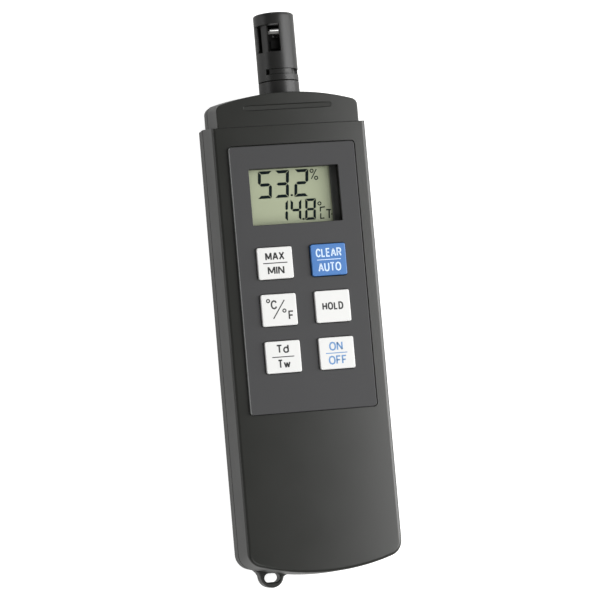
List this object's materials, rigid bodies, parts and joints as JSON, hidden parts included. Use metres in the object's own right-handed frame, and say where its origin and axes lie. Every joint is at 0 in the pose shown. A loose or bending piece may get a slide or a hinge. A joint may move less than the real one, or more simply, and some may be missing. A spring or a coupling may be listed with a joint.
{
  "type": "handheld hygrometer",
  "caption": "Handheld digital hygrometer: slim split-shell case with a display, keypad, battery bay, lanyard loop and a probe under a turning vented guard.",
  "frame": {"origin": "plane of the back face, under the middle of the whole length and width", "axes": "+Z out of the display, +Y towards the sensor probe, +X to the reader's right"},
  "size_m": [0.0492, 0.1797, 0.0251],
  "materials": {
    "case_plastic": "fine moulded texture, black-grey",
    "panel_film": "satin printed film",
    "clear_window": "clear polished",
    "black_plastic": "satin",
    "lcd_glass": "green-grey reflective display",
    "zebra_rubber": "matt",
    "silicone": "matt",
    "carbon_rubber": "matt",
    "key_white": "satin moulded",
    "key_blue": "satin moulded",
    "board_laminate": "solder mask",
    "epoxy_black": "cast epoxy",
    "crystal_can": "drawn can",
    "capacitor_can": "sleeved can",
    "resistor_ceramic": "glazed",
    "socket_nylon": "moulded nylon",
    "battery_can": "printed metal can",
    "plated_contact": "nickel plated",
    "lead_red": "insulated wire",
    "lead_black": "insulated wire",
    "foam": "open foam",
    "probe_plastic": "satin moulded, darker than the case",
    "white_ceramic": "fired ceramic",
    "thermistor_bead": "epoxy bead",
    "solder": "solder",
    "ribbon_film": "flat cable",
    "zinc_screw": "zinc plated"
  },
  "bodies": {
    "case": {"front_shell": "case_plastic", "rear_shell": "case_plastic", "face_panel": "panel_film", "window_lens": "clear_window", "lcd_frame": "black_plastic", "lcd_glass": "lcd_glass", "zebra_strips": "zebra_rubber", "keypad_mat": "silicone", "dome_max_min": "silicone", "dome_clear_auto": "silicone", "dome_unit": "silicone", "dome_hold": "silicone", "dome_dew_wet": "silicone", "dome_power": "silicone", "main_board": "board_laminate", "chip_on_board": "epoxy_black", "sensor_amp_chip": "epoxy_black", "quartz_crystal": "crystal_can", "electrolytic_capacitors": "capacitor_can", "chip_resistors": "resistor_ceramic", "voltage_regulator": "epoxy_black", "sensor_socket": "socket_nylon", "battery_9v": "battery_can", "battery_terminals": "plated_contact", "battery_snap": "black_plastic", "battery_lead_red": "lead_red", "battery_lead_black": "lead_black", "battery_foam": "foam", "sensor_tube": "probe_plastic", "sensor_board": "board_laminate", "humidity_plate": "white_ceramic", "sensor_chip": "epoxy_black", "thermistor": "thermistor_bead", "solder_dots": "solder", "sensor_ribbon": "ribbon_film", "case_screws": "zinc_screw", "board_screws": "zinc_screw"},
    "battery_cover": {"battery_cover": "case_plastic"},
    "sensor_guard": {"sensor_guard": "probe_plastic"},
    "key_max_min": {"key_max_min": "key_white", "pill_max_min": "carbon_rubber"},
    "key_clear_auto": {"key_clear_auto": "key_blue", "pill_clear_auto": "carbon_rubber"},
    "key_unit": {"key_unit": "key_white", "pill_unit": "carbon_rubber"},
    "key_hold": {"key_hold": "key_white", "pill_hold": "carbon_rubber"},
    "key_dew_wet": {"key_dew_wet": "key_white", "pill_dew_wet": "carbon_rubber"},
    "key_power": {"key_power": "key_white", "pill_power": "carbon_rubber"}
  },
  "joints": [
    {"name": "battery_cover_slide", "type": "slide", "parent": "case", "child": "battery_cover", "axis": [0, -1, 0], "range_m": [0, 0.05]},
    {"name": "guard_turn", "type": "hinge", "parent": "case", "child": "sensor_guard", "pos_m": [0, 0.08, 0.014], "axis": [0, 1, 0], "range_deg": [-60, 11]},
    {"name": "key_max_min_press", "type": "slide", "parent": "case", "child": "key_max_min", "axis": [0, 0, -1], "range_m": [0, 0.0008], "stiffness_N_per_m": 1500, "deforming": ["dome_max_min"]},
    {"name": "key_clear_auto_press", "type": "slide", "parent": "case", "child": "key_clear_auto", "axis": [0, 0, -1], "range_m": [0, 0.0008], "stiffness_N_per_m": 1500, "deforming": ["dome_clear_auto"]},
    {"name": "key_unit_press", "type": "slide", "parent": "case", "child": "key_unit", "axis": [0, 0, -1], "range_m": [0, 0.0008], "stiffness_N_per_m": 1500, "deforming": ["dome_unit"]},
    {"name": "key_hold_press", "type": "slide", "parent": "case", "child": "key_hold", "axis": [0, 0, -1], "range_m": [0, 0.0008], "stiffness_N_per_m": 1500, "deforming": ["dome_hold"]},
    {"name": "key_dew_wet_press", "type": "slide", "parent": "case", "child": "key_dew_wet", "axis": [0, 0, -1], "range_m": [0, 0.0008], "stiffness_N_per_m": 1500, "deforming": ["dome_dew_wet"]},
    {"name": "key_power_press", "type": "slide", "parent": "case", "child": "key_power", "axis": [0, 0, -1], "range_m": [0, 0.0008], "stiffness_N_per_m": 1500, "deforming": ["dome_power"]}
  ]
}
